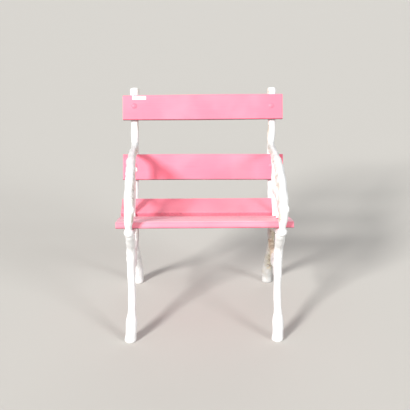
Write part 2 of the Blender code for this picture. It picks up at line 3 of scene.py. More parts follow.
import bpy
import numpy as np
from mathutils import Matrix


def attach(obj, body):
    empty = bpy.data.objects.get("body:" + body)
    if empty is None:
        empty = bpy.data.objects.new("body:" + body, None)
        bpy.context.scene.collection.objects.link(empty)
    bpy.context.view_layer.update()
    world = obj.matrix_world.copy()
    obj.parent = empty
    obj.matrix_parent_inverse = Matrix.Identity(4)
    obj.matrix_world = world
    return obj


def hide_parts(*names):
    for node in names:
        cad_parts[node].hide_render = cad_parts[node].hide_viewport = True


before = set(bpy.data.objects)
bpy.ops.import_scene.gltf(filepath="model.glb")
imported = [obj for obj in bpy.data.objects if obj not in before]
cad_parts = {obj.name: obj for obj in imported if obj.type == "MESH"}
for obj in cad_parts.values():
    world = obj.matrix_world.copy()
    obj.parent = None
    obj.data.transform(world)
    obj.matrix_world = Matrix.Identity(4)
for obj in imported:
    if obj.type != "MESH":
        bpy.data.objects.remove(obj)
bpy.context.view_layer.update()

# Garden armchair: two cast iron end frames in a rustic branch pattern and five painted boards.
# Metres, Z up, the sitter faces -Y. Shapes are worked out in side view, as (y, z) round the casting's
# plane, and moved to the footprint's centre as the last step.

chair = {
    "boardLength": 0.6,
    "boardWidth": 0.096,
    "boardThickness": 0.02,
    "seatFront": (-0.196, 0.437),
    "seatSlopes": (-14.6, -17.0, 11.5),
    "seatGaps": ((0.0147, -0.0053), (0.0181, 0.0064), (0.0, 0.0)),
    "backLean": 21.0,
    "lowerBack": (0.19, 0.5056),
    "topBoardDrop": 0.0219,
    "uprightTop": 0.767,
    "uprightRadius": 0.014,
    "padHeight": 0.0035,
    "clearance": 0.0003,
    "edgeRoom": 0.0015,
    "frameX": 0.257,
    "footprintY": 0.0503,
    "frontBolt": 0.025,
    "backBolt": 0.0045,
}
halfWidth = chair["boardWidth"] / 2
padLevel = -chair["boardThickness"] - chair["clearance"]  # a pad's face, from the face of its board
postDrop = chair["padHeight"] + chair["uprightRadius"]


def heading(degrees):
    return np.array([math.cos(math.radians(degrees)), math.sin(math.radians(degrees))])


class Board:
    # a board from the side: the centre of its face, the way across it and the way out, each (y, z)
    def __init__(self, tag, centre, slope, bolt):
        self.tag = tag
        self.centre = centre
        self.across = heading(slope)
        self.normal = np.array([-self.across[1], self.across[0]])
        self.bolt = bolt

    def at(self, across, height):
        return self.centre + across * self.across + height * self.normal

    def under(self, across, depth):
        # a point of the casting, its depth counted from the face of the pad that carries the board
        return self.at(across, padLevel - depth)

    def measure(self, points):
        # across the board and out of its face, for points (x, y, z)
        away = points[:, 1:] - self.centre
        return away @ self.across, away @ self.normal

    def place(self, local):
        # local points (x, across, height) put round the casting's plane
        flat = self.centre + local[..., 1:2] * self.across + local[..., 2:3] * self.normal
        return np.concatenate([local[..., :1], flat], axis=-1)

    def settle(self, local):
        # the same, moved to the footprint's centre
        return self.place(local) - (0.0, chair["footprintY"], 0.0)


def layBoards():
    # three boards one behind the other as the seat, and two on the leaning uprights
    made = []
    corner = np.array(chair["seatFront"])
    tags = ("front_seat", "middle_seat", "rear_seat")
    for tag, slope, gap in zip(tags, chair["seatSlopes"], chair["seatGaps"]):
        run = chair["boardWidth"] * heading(slope)
        made.append(Board(tag, corner + run / 2, slope, 0.0 if made else chair["frontBolt"]))
        corner = corner + run + gap
    lean = chair["backLean"]
    down, back = heading(lean)
    depth = -padLevel + chair["padHeight"] + chair["uprightRadius"]
    top = chair["uprightTop"] - (chair["topBoardDrop"] + halfWidth) * down + depth * back
    y, z = chair["lowerBack"]
    for tag, level in (("lower_back", z), ("top_back", top)):
        centre = np.array([y + (level - z) * math.tan(math.radians(lean)), level])
        made.append(Board(tag, centre, 90 - lean, chair["backBolt"]))
    return made


boards = layBoards()
frontSeat, _, rearSeat, lowerBack, topBack = boards


# Rings, skins and meshes

noTriangles = np.zeros((0, 3), dtype=int)


def circle(sides, shift=0.0):
    return math.tau * (np.arange(sides) + shift) / sides


def around(turn):
    return np.stack([np.cos(turn), np.sin(turn)], axis=-1)


def unit(ways):
    return ways / np.maximum(np.linalg.norm(ways, axis=-1, keepdims=True), 1e-12)


def stacked(outlines, levels):
    # outlines (rows, columns, 2), each lifted to its own level
    high = np.broadcast_to(np.asarray(levels)[:, None, None], (*outlines.shape[:2], 1))
    return np.concatenate([outlines, high], axis=-1)


def turned(levels, reach, sides):
    # a surface of revolution round the third axis: reach, by level or by level and turn, is how far out
    return stacked(np.reshape(reach, (len(levels), -1, 1)) * around(circle(sides)), levels)


def roundedOutline(size, power, sides):
    # a superellipse: cosine and sine raised to a small power, their signs kept
    way = around(circle(sides, 0.5))
    return np.sign(way) * np.abs(way) ** power * size / 2


def closedSkin(rings, looped=False):
    # skin of rings (rows, columns, 3): looped, the last row meets the first, or each end has a fan
    rows, columns = rings.shape[:2]
    row = np.arange(rows if looped else rows - 1)[:, None]
    low, high = row * columns, (row + 1) % rows * columns
    here = np.arange(columns)
    beside = (here + 1) % columns
    quads = np.stack([low + here, low + beside, high + beside, high + here], axis=-1).reshape(-1, 4)
    points, triangles = rings.reshape(-1, 3), noTriangles
    if not looped:
        middle, last = np.full(columns, rows * columns), (rows - 1) * columns
        points = np.concatenate([points, rings[:1].mean(axis=1), rings[-1:].mean(axis=1)])
        triangles = np.concatenate([np.stack([middle, beside, here], axis=-1),
                                    np.stack([middle + 1, last + here, last + beside], axis=-1)])
    split = np.concatenate([quads[:, :3], quads[:, [0, 2, 3]], triangles])
    a, b, c = (points[split[:, k]] for k in range(3))
    if np.einsum("ij,ij->i", a, np.cross(b, c)).sum() < 0:  # a negative volume: its faces look inwards
        quads, triangles = quads[:, ::-1], triangles[:, ::-1]
    return points, quads, triangles


def makeMesh(name, points, quads, triangles=noTriangles, sharp=180, **amounts):
    # a smooth mesh, sharp where faces meet past an angle in degrees, with amounts for its points
    mesh = bpy.data.meshes.new(name)
    corners = np.concatenate([quads.ravel(), triangles.ravel()])
    starts = np.concatenate([np.arange(len(quads)) * 4, quads.size + np.arange(len(triangles)) * 3])
    for items, key, values, kind in ((mesh.vertices, "co", points, np.float32),
                                     (mesh.loops, "vertex_index", corners, np.int32),
                                     (mesh.polygons, "loop_start", starts, np.int32)):
        items.add(len(values))
        items.foreach_set(key, np.asarray(values, dtype=kind).ravel())
    mesh.update(calc_edges=True)
    mesh.validate()
    mesh.shade_smooth()
    if sharp < 180:
        mesh.set_sharp_from_angle(angle=math.radians(sharp))
    for key, values in amounts.items():
        field = mesh.attributes.new(key, "FLOAT", "POINT")
        field.data.foreach_set("value", np.asarray(values, dtype=np.float32))
    return mesh


def addObject(name, data):
    made = bpy.data.objects.new(name, data)
    bpy.context.scene.collection.objects.link(made)
    return made


def addPiece(mesh, material, slot, *nodes):
    piece = addObject(mesh.name, mesh)
    mesh.materials.append(material)
    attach(piece, "root")
    if nodes:
        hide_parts(*nodes)


def camelName(*words):
    first, *rest = "_".join(words).split("_")
    return first + "".join(word.capitalize() for word in rest)


def softNoise(points, size, seed):
    # value noise from -1 to 1: fixed random numbers at the corners of a lattice, blended smoothly
    scaled = points / size
    cell = np.floor(scaled).astype(np.int64)
    part = scaled - cell
    part = part * part * (3 - 2 * part)
    total = np.zeros(points.shape[:-1])
    for corner in np.ndindex(2, 2, 2):
        spot = cell + np.array(corner)
        code = spot[..., 0] * 73856093 ^ spot[..., 1] * 19349663 ^ spot[..., 2] * 83492791 ^ seed * 6542989
        code = (code ^ code >> 13) * 1274126177 & 0x7fffffff
        value = (code >> 9 & 0xffff) / 65535
        total += value * np.prod(np.where(corner, part, 1 - part), axis=-1)
    return 2 * total - 1


def smoothStep(low, high, value):
    share = np.clip((value - low) / (high - low), 0, 1)
    return share * share * (3 - 2 * share)


def eased(levels, values, spots):
    # values at the given levels, joined by smooth steps
    total = np.full(len(spots), float(values[0]))
    for low, high, before, after in zip(levels, levels[1:], values, values[1:]):
        total += (after - before) * smoothStep(low, high, spots)
    return total


# Finishes

class Amount:
    # a number that varies over a surface: each operator adds its Math node
    def __init__(self, maths, socket):
        self.maths = maths
        self.socket = socket

    def __add__(self, other):
        return self.maths("ADD", self, other)

    def __sub__(self, other):
        return self.maths("SUBTRACT", self, other)

    def __rsub__(self, other):
        return self.maths("SUBTRACT", other, self)

    def __mul__(self, other):
        return self.maths("MULTIPLY", self, other)

    __radd__ = __add__
    __rmul__ = __mul__


class Finish:
    # a material under construction
    def __init__(self, name, **constants):
        self.material = bpy.data.materials.new(name)
        self.material.use_nodes = True
        self.tree = self.material.node_tree
        self.shader = self.tree.nodes["Principled BSDF"]
        self.place = self.node("ShaderNodeTexCoord").outputs["Object"]
        self.feed(constants)

    def join(self, value, socket):
        # a varying value is linked to the socket, a constant is set on it
        value = value.socket if isinstance(value, Amount) else value
        if isinstance(value, bpy.types.NodeSocket):
            self.tree.links.new(value, socket)
        else:
            socket.default_value = value

    def node(self, kind, settings={}, sockets={}):
        made = self.tree.nodes.new(kind)
        for key, value in settings.items():
            setattr(made, key, value)
        for key, value in sockets.items():
            self.join(value, made.inputs[key])
        return made

    def number(self, output, kind, settings={}, sockets={}):
        return Amount(self.maths, self.node(kind, settings, sockets).outputs[output])

    def maths(self, operation, first, second):
        return self.number(0, "ShaderNodeMath", {"operation": operation}, {0: first, 1: second})

    def noise(self, scale, detail, rough, bend=0):
        # a scale for each axis stretches the noise
        place = self.place
        if isinstance(scale, tuple):
            place = self.node("ShaderNodeMapping", {}, {"Vector": place, "Scale": scale}).outputs[0]
            scale = 1
        return self.number("Fac", "ShaderNodeTexNoise", {}, {
            "Vector": place, "Scale": scale, "Detail": detail, "Roughness": rough, "Distortion": bend})

    def cells(self, scale):
        return self.number("Distance", "ShaderNodeTexVoronoi", {}, {"Vector": self.place, "Scale": scale})

    def amount(self, name):
        return self.number("Fac", "ShaderNodeAttribute", {"attribute_name": name})

    def step(self, value, low, high):
        return self.number(0, "ShaderNodeMapRange", {"interpolation_type": "SMOOTHSTEP"},
                           {"Value": value, "From Min": low, "From Max": high})

    def mix(self, share, first, second):
        first, second = ((*paint, 1.0) if isinstance(paint, tuple) else paint for paint in (first, second))
        return self.node("ShaderNodeMix", {"data_type": "RGBA"}, {0: share, 6: first, 7: second}).outputs[2]

    def coat(self, under, over, value, low, high, share=1.0):
        # one colour over another, as far as the share, where the value climbs from low to high
        return self.mix(self.step(value, low, high) * share, under, over)

    def feed(self, sockets):
        for name, value in sockets.items():
            self.join(value, self.shader.inputs[name])

    def finished(self, colour, rough, height, relief, **others):
        # the relief is the bump's distance and strength
        relief = dict(zip(("Distance", "Strength"), relief))
        bump = self.node("ShaderNodeBump", {}, {"Height": height, **relief})
        self.feed({"Base Color": colour, "Roughness": rough, "Normal": bump.outputs[0], **others})
        return self.material


ironPaint = {
    "white": (0.805, 0.805, 0.8),
    "cream": (0.7, 0.665, 0.58),
    "grime": (0.215, 0.155, 0.1),
    "beige": (0.47, 0.4, 0.3),
    "ochre": (0.6, 0.545, 0.43),
    "dull": (0.4, 0.4, 0.385),
    "rust": (0.16, 0.075, 0.035),
    "smear": (0.86, 0.34, 0.43),
    "relief": (0.0011, 0.8),
}


def whiteIronPaint():
    # thick gloss paint on cast iron: cream in the hollows, brown grime with painted shade on the rear legs,
    # pink smears, a few rusty chips
    made, paint = Finish("thickWhitePaintOnIron", Roughness=0.38, IOR=1.5), ironPaint
    hollow, grime, smear = (made.amount(name) for name in ("hollow", "grime", "smear"))
    blotch = made.noise(34, 4, 0.6)
    fine = made.noise(190, 4, 0.62)
    streak = made.noise((150, 150, 28), 4, 0.6, 0.4)
    stain = made.noise((62, 62, 34), 5, 0.68, 0.7)
    colour = made.coat(paint["white"], paint["cream"], hollow + blotch * 0.5, 0.62, 1.15, 0.55)
    colour = made.coat(colour, paint["smear"], smear + blotch * 0.6, 0.98, 1.22, 0.8)
    colour = made.mix(made.amount("dull") * (0.6 + blotch * 0.8), colour, paint["dull"])
    soil = made.coat(paint["ochre"], paint["beige"], stain, 0.38, 0.52)
    soil = made.coat(soil, paint["grime"], stain, 0.55, 0.68, 0.8)
    dirty = made.step(grime + blotch * 0.5 + streak * 0.4 + fine * 0.3, 0.98, 1.58)
    colour = made.mix(dirty, colour, soil)
    crust = grime * 0.9 + hollow * 0.45 + streak * 0.8 + fine * 0.35
    colour = made.coat(colour, paint["grime"], crust, 1.46, 1.84, 0.9)
    chips = made.step(made.noise(88, 3, 0.5) + grime * 0.12, 0.745, 0.79)
    pits = made.step(made.cells(31) + fine * 0.2, 0.19, 0.14) * made.step(made.noise(11, 2, 0.5), 0.55, 0.6)
    chips = made.maths("MAXIMUM", chips, pits)
    colour = made.mix(chips * 0.85, colour, paint["rust"])
    pocks = made.step(made.cells(120), 0.3, 0.12)
    height = fine * 0.35 + made.noise(70, 3, 0.5) * 0.9 - chips * 0.5 - pocks * 0.35
    return made.finished(colour, 0.33 + blotch * 0.12 + dirty * 0.25 + chips * 0.2, height, paint["relief"])


timberPaint = {
    "pink": (0.92, 0.188, 0.27),
    "deep": (0.86, 0.155, 0.23),
    "pale": (0.93, 0.228, 0.313),
    # the pale pink of the painted highlight on the seat boards
    "faded": (0.945, 0.54, 0.62),
    "rim": (0.58, 0.24, 0.305),
    "edge": (0.21, 0.07, 0.105),
    "bare": (0.5, 0.36, 0.25),
    "crown": (0.52, 0.4, 0.4),
    "relief": (0.0006, 0.8),
    "boltRelief": (0.0004, 0.7),
}


def pinkTimberPaint():
    # satin paint on planed softwood: grain and brush marks along X, worn edges, a few dents, a painted
    # highlight on the seat tops, a painted shadow line along the edges and painted shade along the lower
    # edges
    made, paint = Finish("pinkSatinPaintOnTimber", Roughness=0.45, IOR=1.48), timberPaint
    rim, under, faded = (made.amount(name) for name in ("rim", "under", "faded"))
    grain = made.noise((5, 130, 130), 5, 0.6, 0.8)
    brush = made.noise((9, 420, 420), 3, 0.5)
    cloud = made.noise(6, 3, 0.5)
    spots = made.noise(150, 2, 0.5)
    colour = made.coat(paint["pink"], paint["pale"], cloud + brush * 0.25, 0.42, 0.9)
    # the seat boards' upper faces and the front board's front face turned a paler pink: a painted highlight
    # from light above and a painted sheen
    colour = made.mix(faded + (cloud - 0.5) * 0.3, colour, paint["faded"])
    colour = made.coat(colour, paint["deep"], grain, 0.6, 0.78, 0.28)
    # every edge and end a greyer pink: a painted shadow line along the edges, with real wear in the dark
    # specks and bare chips that follow
    colour = made.coat(colour, paint["rim"], rim + spots * 0.2, 0.45, 0.95, 0.55)
    colour = made.coat(colour, paint["edge"], rim + spots * 0.8, 1.22, 1.5, 0.35)
    # a dark line along each board's lower edge: painted shade
    colour = made.coat(colour, paint["edge"], under + spots * 0.3, 0.35, 0.95, 0.86)
    chips = made.step(made.noise(75, 3, 0.6) + rim * 0.16, 0.8, 0.84)
    colour = made.mix(chips * 0.8, colour, paint["bare"])
    height = grain * 0.7 + brush * 0.45 - chips * 0.5 + made.noise(45, 2, 0.5) * 0.3
    return made.finished(colour, 0.4 + brush * 0.14 + chips * 0.25, height, paint["relief"])


def pinkIronPaint():
    # the boards' paint brushed over the bolt heads, worn to zinc on the crowns
    made, paint = Finish("pinkPaintOnBoltHeads", Roughness=0.42), timberPaint
    patch = made.noise(160, 3, 0.55)
    worn = made.step(made.noise(420, 3, 0.6), 0.66, 0.74)
    colour = made.coat(paint["pink"], paint["pale"], patch, 0.35, 0.8, 0.25)
    colour = made.mix(worn * 0.15, colour, paint["crown"])
    height = made.noise(300, 2, 0.5) - worn * 0.4
    return made.finished(colour, 0.36 + patch * 0.2, height, paint["boltRelief"])


zinc = {
    "pale": (0.46, 0.46, 0.45),
    "grey": (0.3, 0.3, 0.3),
    "rust": (0.2, 0.085, 0.035),
    "relief": (0.0003, 0.6),
}


def dullZinc():
    # galvanised steel gone dull, with pale spangles and rust in spots
    made = Finish("dullGalvanisedSteel", Metallic=0.9, Roughness=0.5)
    spangle = made.cells(420)
    rust = made.step(made.noise(260, 4, 0.65), 0.6, 0.7)
    colour = made.mix(rust * 0.8, made.mix(spangle, zinc["pale"], zinc["grey"]), zinc["rust"])
    height = made.noise(600, 3, 0.6) + rust * 0.4
    return made.finished(colour, 0.42 + spangle * 0.2 + rust * 0.3, height, zinc["relief"],
                         Metallic=0.92 - rust * 0.8)


enamel = {
    "white": (0.88, 0.88, 0.87),
    "yellowed": (0.78, 0.76, 0.72),
    "dirt": (0.45, 0.3, 0.28),
    "relief": (0.0002, 0.5),
}


def plateEnamel():
    # a blank plate in white enamel, slightly yellowed, with a dark line of dirt round it
    made = Finish("blankPlateEnamel", Roughness=0.3)
    cloud = made.noise(90, 3, 0.5)
    colour = made.coat(enamel["white"], enamel["yellowed"], cloud, 0.3, 0.8)
    colour = made.coat(colour, enamel["dirt"], made.amount("rim") + cloud * 0.5, 0.9, 1.3, 0.6)
    return made.finished(colour, 0.24 + cloud * 0.2, made.noise(300, 2, 0.5), enamel["relief"])


ironFinish = whiteIronPaint()
timberFinish = pinkTimberPaint()
boltFinish = pinkIronPaint()
zincFinish = dullZinc()
plateFinish = plateEnamel()
print("finishes made")


# End frames: limbs as tubes along smooth paths, fused, then given their bark

limbs = {
    "frontFootY": -0.221,
    "rearFootY": 0.254,
    "footLevels": (0.03, 0.022, 0.015, 0.0095, 0.006, 0.003, 0.001, 0.0),
    "footReach": (0.0172, 0.0188, 0.0201, 0.0208, 0.0208, 0.0203, 0.019, 0.0176),
    "legRadius": 0.0132,
    "legBow": 0.081,
    "rearRadius": 0.014,
    "rearSweep": 0.122,
    "hipOffset": (1.7, -2.14),
    "armRadius": 0.015,
    "armCrown": 0.582,
    "armFrontY": -0.2315,
    "knotRadius": 0.018,
    "knotStand": 0.005,
    "frontKnot": {"drop": 0.0092, "reach": (0.0167, 0.0172, 0.0135)},
    "railRadius": 0.0135,
    "braceRadius": 0.0115,
    "braceHeight": 0.222,
    "stemRadius": 0.012,
    "twigRadius": 0.01,
    "twigShares": (0.0, 0.3, 0.6, 0.85, 0.97, 1.0, 0.97),
    "twigSizes": (1.0, 0.96, 0.93, 0.92, 0.84, 0.66, 0.35),
    "padSize": (0.024, 0.062),
    "bossRadius": 0.0128,
    "bossStand": 0.0025,
    "knobble": 0.055,
    "knobblePitch": 0.078,
    "pathStep": 0.0025,
    "capReach": (0.47, 0.44, 0.34, 0.18),
    "capSize": (0.6, 0.8, 0.93, 0.99),
    "lumpPitch": 0.034,
    "lumpMargin": 0.015,
    "lumpSize": (0.006, 0.011),
    "lumpHeight": 0.0017,
    "lumpSeed": 40,
    "voxel": 0.0021,
    "filletRounds": 7,
    "shrinkage": 0.00022,
    "soleHeight": 0.006,
    "barkAllowance": 0.0003,
    "groovePitch": 0.0115,
    "grooveDepth": 0.0009,
    "swayLevels": (0.0, 0.035, 0.08, 0.17, 0.24, 0.3, 0.35, 0.385, 0.41, 0.44),
    "legSway": {"left": (-0.0036, -0.0006, 0.0012, 0.001, 0.0003, 0.0018, 0.0046, 0.0054, 0.0023, 0.0),
                "right": (-0.003, -0.0012, -0.0008, -0.0004, 0.0, -0.0002, -0.0006, -0.0016, 0.0012, 0.0)},
    "rearSway": {"left": -0.003, "right": -0.0008},
    "armLean": {"left": 0.0056, "right": 0.0026},
    "topLean": {"left": -0.0006, "right": 0.005},
    "grimeFrom": {"left": 0.15, "right": -0.02},
    "grimeShare": {"left": 0.5, "right": 1.0},
    "footGrime": {"left": 0.25, "right": 0.5},
    "footDull": {"left": 0.08, "right": 0.9},
}
stackDepth = chair["padHeight"] + 2 * limbs["railRadius"] + limbs["bossStand"]
kneeY = limbs["rearFootY"] - limbs["rearSweep"]
bowY = limbs["frontFootY"] + limbs["legBow"]


# stations along the limbs: two shares that place each, then girth and thickness as shares of the radius
courses = {
    "rearLeg": (  # of the hip's height and of the sweep
        (0.8, 0.0, 1.15, 0.98), (0.64, 0.03, 1.05, 0.9), (0.5, 0.2, 1.05, 0.99),
        (0.37, 0.55, 1.1, 1.16), (0.22, 0.86, 1.2, 1.38), (0.08, 1.0, 1.38, 1.56), (0.0, 1.0, 1.4, 1.52)),
    "frontLeg": (  # of the knot's height and of the bow
        (0.93, 0.13, 1.15, 1.22), (0.89, 0.34, 1.2, 1.27), (0.8, 0.78, 1.18, 1.24),
        (0.722, 1.0, 1.28, 1.27), (0.706, 1.0, 1.27, 1.25), (0.69, 1.0, 1.13, 1.12), (0.57, 0.95, 1.06, 1.08),
        (0.42, 0.98, 1.03, 1.05), (0.33, 0.86, 1.02, 1.05), (0.25, 0.58, 1.04, 1.09),
        (0.21, 0.42, 1.08, 1.15), (0.185, 0.32, 1.2, 1.3), (0.12, 0.13, 1.33, 1.47),
        (0.06, 0.02, 1.45, 1.54), (0.0, 0.0, 1.5, 1.5)),
    "arm": (  # of the way back to the upright and of the fall to the knot
        (1.0, 0.06, 0.95, 0.9), (0.88, 0.07, 0.92, 0.92), (0.72, 0.02, 0.95, 0.97), (0.56, 0.0, 1.0, 1.02),
        (0.5, 0.0, 1.04, 1.14), (0.42, 0.01, 1.0, 1.12), (0.28, 0.08, 1.02, 1.1), (0.15, 0.2, 1.02, 1.1),
        (0.045, 0.37, 1.0, 1.1), (0.0, 0.58, 0.98, 1.1), (0.003, 0.72, 0.96, 1.07),
        (0.008, 0.85, 0.9, 0.95), (0.015, 0.955, 0.8, 0.8), (0.018, 1.03, 0.8, 0.8)),
    "brace": (  # of the way back, and a rise in radii
        (0.0, -1.4, 1.25, 1.1), (0.14, -0.87, 1.1, 1.15), (0.27, 0.25, 1.05, 1.05), (0.43, -1.2, 1.55, 1.36),
        (0.63, 0.15, 1.05, 1.05), (0.84, -0.17, 1.0, 1.0), (1.0, 1.04, 1.2, 1.1)),
}


def course(name, place):
    return [(*place(first, second), girth, thick) for first, second, girth, thick in courses[name]]


def toward(first, second, share):
    return first + (second - first) * share


def leaning(start, rise):
    # up from a point, leaning as the back does
    return start + np.array([rise * math.tan(math.radians(chair["backLean"])), rise])


def smoothPath(stations):
    # a Catmull-Rom curve: each span is the cubic of its two ends and their neighbours
    some = np.asarray(stations, dtype=float)
    ends = np.vstack([some[:1], some, some[-1:]])
    spans = []
    for p, q, r, s in zip(ends, ends[1:], ends[2:], ends[3:]):
        count = max(2, round(math.dist(q[:2], r[:2]) / limbs["pathStep"]))
        t = (np.arange(count) / count)[:, None]
        spans.append(0.5 * (2 * q + (r - p) * t + (2 * p - 5 * q + 4 * r - s) * t ** 2
                            + (3 * q - p - 3 * r + s) * t ** 3))
    return np.vstack(spans + [some[-1:]])


class Limb:
    # a branch in the casting's plane: stations hold y, z, girth and thickness as shares of the radius
    def __init__(self, stations, radius, phase, foot=False, knobbly=1.0, sides=36):
        path = smoothPath(stations)
        self.middle = path[:, :2]
        self.along = unit(np.gradient(self.middle, axis=0))
        lengths = np.linalg.norm(np.diff(self.middle, axis=0), axis=1)
        self.run = np.concatenate([[0.0], np.cumsum(lengths)])
        wave = np.sin(math.tau * self.run / limbs["knobblePitch"] + phase)
        swell = 1 + limbs["knobble"] * knobbly * wave
        self.wide, self.thick = (radius * path[:, k] * swell - limbs["barkAllowance"] for k in (2, 3))
        self.radius = radius
        self.foot = foot
        self.sides = sides

    def skin(self, seed):
        # surface(run, turn) = middle + cos(turn) thick X + sin(turn) wide across, grown by the lumps
        chance = np.random.default_rng(seed)
        turn, length = circle(self.sides), self.run[-1]
        reach, size = np.array(limbs["capReach"]), np.array(limbs["capSize"])
        tail, count = 0 if self.foot else len(reach), len(self.run)
        spot = np.pad(np.arange(count), (len(reach), tail), mode="edge")
        past = np.concatenate([-reach, np.zeros(count), reach[::-1][:tail]])
        shrink = np.concatenate([size, np.ones(count), size[::-1][:tail]])
        along, run = self.along[spot], self.run[spot]
        middle = self.middle[spot] + along * self.wide[spot, None] * past[:, None]
        wide, thick = shrink * self.wide[spot], shrink * self.thick[spot]
        across = np.stack([-along[:, 1], along[:, 0]], axis=1)
        grow = np.zeros((len(run), self.sides))
        for _ in range(max(2, int(length / limbs["lumpPitch"]))):
            where = chance.uniform(limbs["lumpMargin"], max(length - limbs["lumpMargin"], 0.02))
            way = chance.uniform(0, math.tau)
            size = chance.uniform(*limbs["lumpSize"])
            height = chance.uniform(0.4, 1.0) * limbs["lumpHeight"]
            apart = (turn - way + math.pi) % math.tau - math.pi
            far = ((run - where) / size)[:, None] ** 2 + (self.radius * apart / size)[None, :] ** 2
            grow += height * (np.exp(-far) - 0.5 * np.exp(-far * 6))
        ring = np.zeros((len(run), self.sides, 3))
        ring[..., 0] = (thick[:, None] + grow) * np.cos(turn)
        ring[..., 1:] = middle[:, None] + ((wide[:, None] + grow) * np.sin(turn))[..., None] * across[:, None]
        return closedSkin(ring)


def sawnTwig(start, way, radius, length):
    # a short cone round an axis: its radius falls along it, and its end is a shallow dish
    aim = unit(np.array(way))
    side = unit(np.cross(aim, (0.0, 0.0, 1.0)))
    turn = circle(28)[:, None]
    ring = np.cos(turn) * side + np.sin(turn) * np.cross(aim, side)
    share, size = np.array(limbs["twigShares"])[:, None], np.array(limbs["twigSizes"])
    origin = np.array([0.0, *start]) + share * length * aim
    return closedSkin(origin[:, None] + radius * size[:, None, None] * ring)


def footPad(y):
    # a low turned pad: radius as a function of height, closed on the floor
    return closedSkin(turned(limbs["footLevels"], limbs["footReach"], 40) + (0.0, y, 0.0))


def seatPad(board):
    # a block under a board: a rounded rectangle carried along the board's normal
    depth = np.array([0.0, 0.0012, 0.004, 0.008, 0.013, 0.017])
    grow = np.array([0.95, 1.0, 1.0, 0.99, 0.95, 0.85])
    local = stacked(roundedOutline(limbs["padSize"], 0.22, 64) * grow[:, None, None], padLevel - depth)
    return closedSkin(board.place(local + (0.0, board.bolt, 0.0)))


def boltBoss(board):
    # a round boss on the far side of the limb, its end flat for the washer
    depth = np.array([0.002, 0.01, 0.02, 0.028, stackDepth - 0.0015, stackDepth])
    reach = np.array([0.9, 1.0, 1.05, 1.02, 1.0, 0.92]) * limbs["bossRadius"]
    return closedSkin(board.place(turned(padLevel - depth, reach, 40) + (0.0, board.bolt, 0.0)))


def hipPoint():
    # the bend from upright to rear leg: its offset from the rear seat board is in radii
    radius = chair["uprightRadius"]
    back, up = limbs["hipOffset"]
    return rearSeat.under(halfWidth, 0.0) + (chair["edgeRoom"] + back * radius, up * radius)


def knotPoint():
    return frontSeat.under(-halfWidth, 0.0) + (-limbs["knotStand"] - limbs["knotRadius"], 0.001)


def armPoint(share, fall):
    # a point of the arm: its share of the way back to the upright, and of the fall from crown to knot
    back = lowerBack.under(0.0, postDrop)
    joint = leaning(back, limbs["armCrown"] - 0.8 * limbs["armRadius"] - back[1])[0]
    drop = limbs["armCrown"] - knotPoint()[1]
    return np.array([limbs["armFrontY"] + share * (joint - limbs["armFrontY"]),
                     limbs["armCrown"] - fall * drop])


def rearPost():
    # back upright and rear leg in one sweep
    turn = hipPoint()
    stations = [(*topBack.under(halfWidth + chair["topBoardDrop"], postDrop), 1.12, 1.24),
                (*topBack.under(halfWidth, postDrop), 1.12, 1.2)]
    for board, thick in ((topBack, 1.08), (lowerBack, 1.0)):
        for across in (halfWidth * 0.1, -halfWidth):
            spot = board.under(across, postDrop)
            stations.append((*spot, 1.0, thick))
    bend = toward(turn, spot, 0.63)
    stations.append((bend[0] - 0.4 * chair["uprightRadius"], bend[1], 1.05, 1.0))
    stations.append((*turn, 1.15, 1.0))
    stations += course("rearLeg", lambda level, sweep: (kneeY + sweep * limbs["rearSweep"], turn[1] * level))
    return Limb(stations, limbs["rearRadius"], 0.6, foot=True)


def frontLeg():
    # a leg that bows back at mid height
    y, z = knotPoint()
    foot, reach = limbs["frontFootY"], limbs["legBow"]
    stations = [(y + 0.002, z - 0.01, 0.95, 0.95)]
    stations += course("frontLeg", lambda level, bow: (foot + bow * reach, z * level))
    return Limb(stations, limbs["legRadius"], 2.0, foot=True)


def armLimb():
    return Limb(course("arm", armPoint), limbs["armRadius"], 1.2)


def frontKnot():
    # a squat egg at the foot of the arm: its reach falls with the height from its middle
    settings, knot = limbs["frontKnot"], knotPoint()
    level = np.array([-1.0, -0.97, -0.86, -0.66, -0.38, -0.05, 0.3, 0.62, 0.85, 0.96, 1.0])
    blunt = 0.12
    size = (1.0001 - np.abs(level) ** 2.6) ** (1 / 2.2) + blunt
    ring = turned(level, size, 40) * settings["reach"] / (1 + blunt, 1 + blunt, 1.0)
    return closedSkin(ring + (0.0, knot[0], knot[1] - settings["drop"]))


def seatRail():
    knot, turn = knotPoint(), hipPoint()
    radius = limbs["railRadius"]
    drop = chair["padHeight"] + radius
    stations = [(knot[0] + 0.44 * radius, knot[1] - 1.4 * radius, 1.1, 1.1)]
    for board, shares in zip(boards, ((-0.35, 0.1, 0.8), (-0.6, 0.0, 0.6), (-0.6, 0.0, 0.6))):
        stations += [(*board.under(halfWidth * share, drop), 1.0, 1.0) for share in shares]
    end = rearSeat.under(halfWidth, drop)
    stations.append((turn[0], (end[1] + turn[1]) / 2, 1.1, 1.0))
    return Limb(stations, radius, 0.0, knobbly=0.4)


def legBrace():
    # a wavy bar from the front leg's bow to the rear leg's knee, with a knot on it
    radius = limbs["braceRadius"]
    return Limb(course("brace", lambda share, rise: (bowY + share * (kneeY - bowY),
                                                     limbs["braceHeight"] + rise * radius)), radius, 1.0)


def middleOfGap(index, depth):
    # halfway between a seat board and the next one, at a depth below their faces
    return (boards[index].at(halfWidth, -depth) + boards[index + 1].at(-halfWidth, -depth)) / 2


def stemFoot(index):
    # where a stem stands in the gap behind a seat board, its rise to the arm and its first stations
    foot = middleOfGap(index, 2 * chair["boardThickness"])
    gap = middleOfGap(index, chair["boardThickness"] / 2)
    slim = (chair["seatGaps"][index][0] / 2 - chair["edgeRoom"]) / limbs["stemRadius"]
    return gap, limbs["armCrown"] - gap[1], [(*foot, 1.0, 1.0), (*gap, slim, 0.9)]


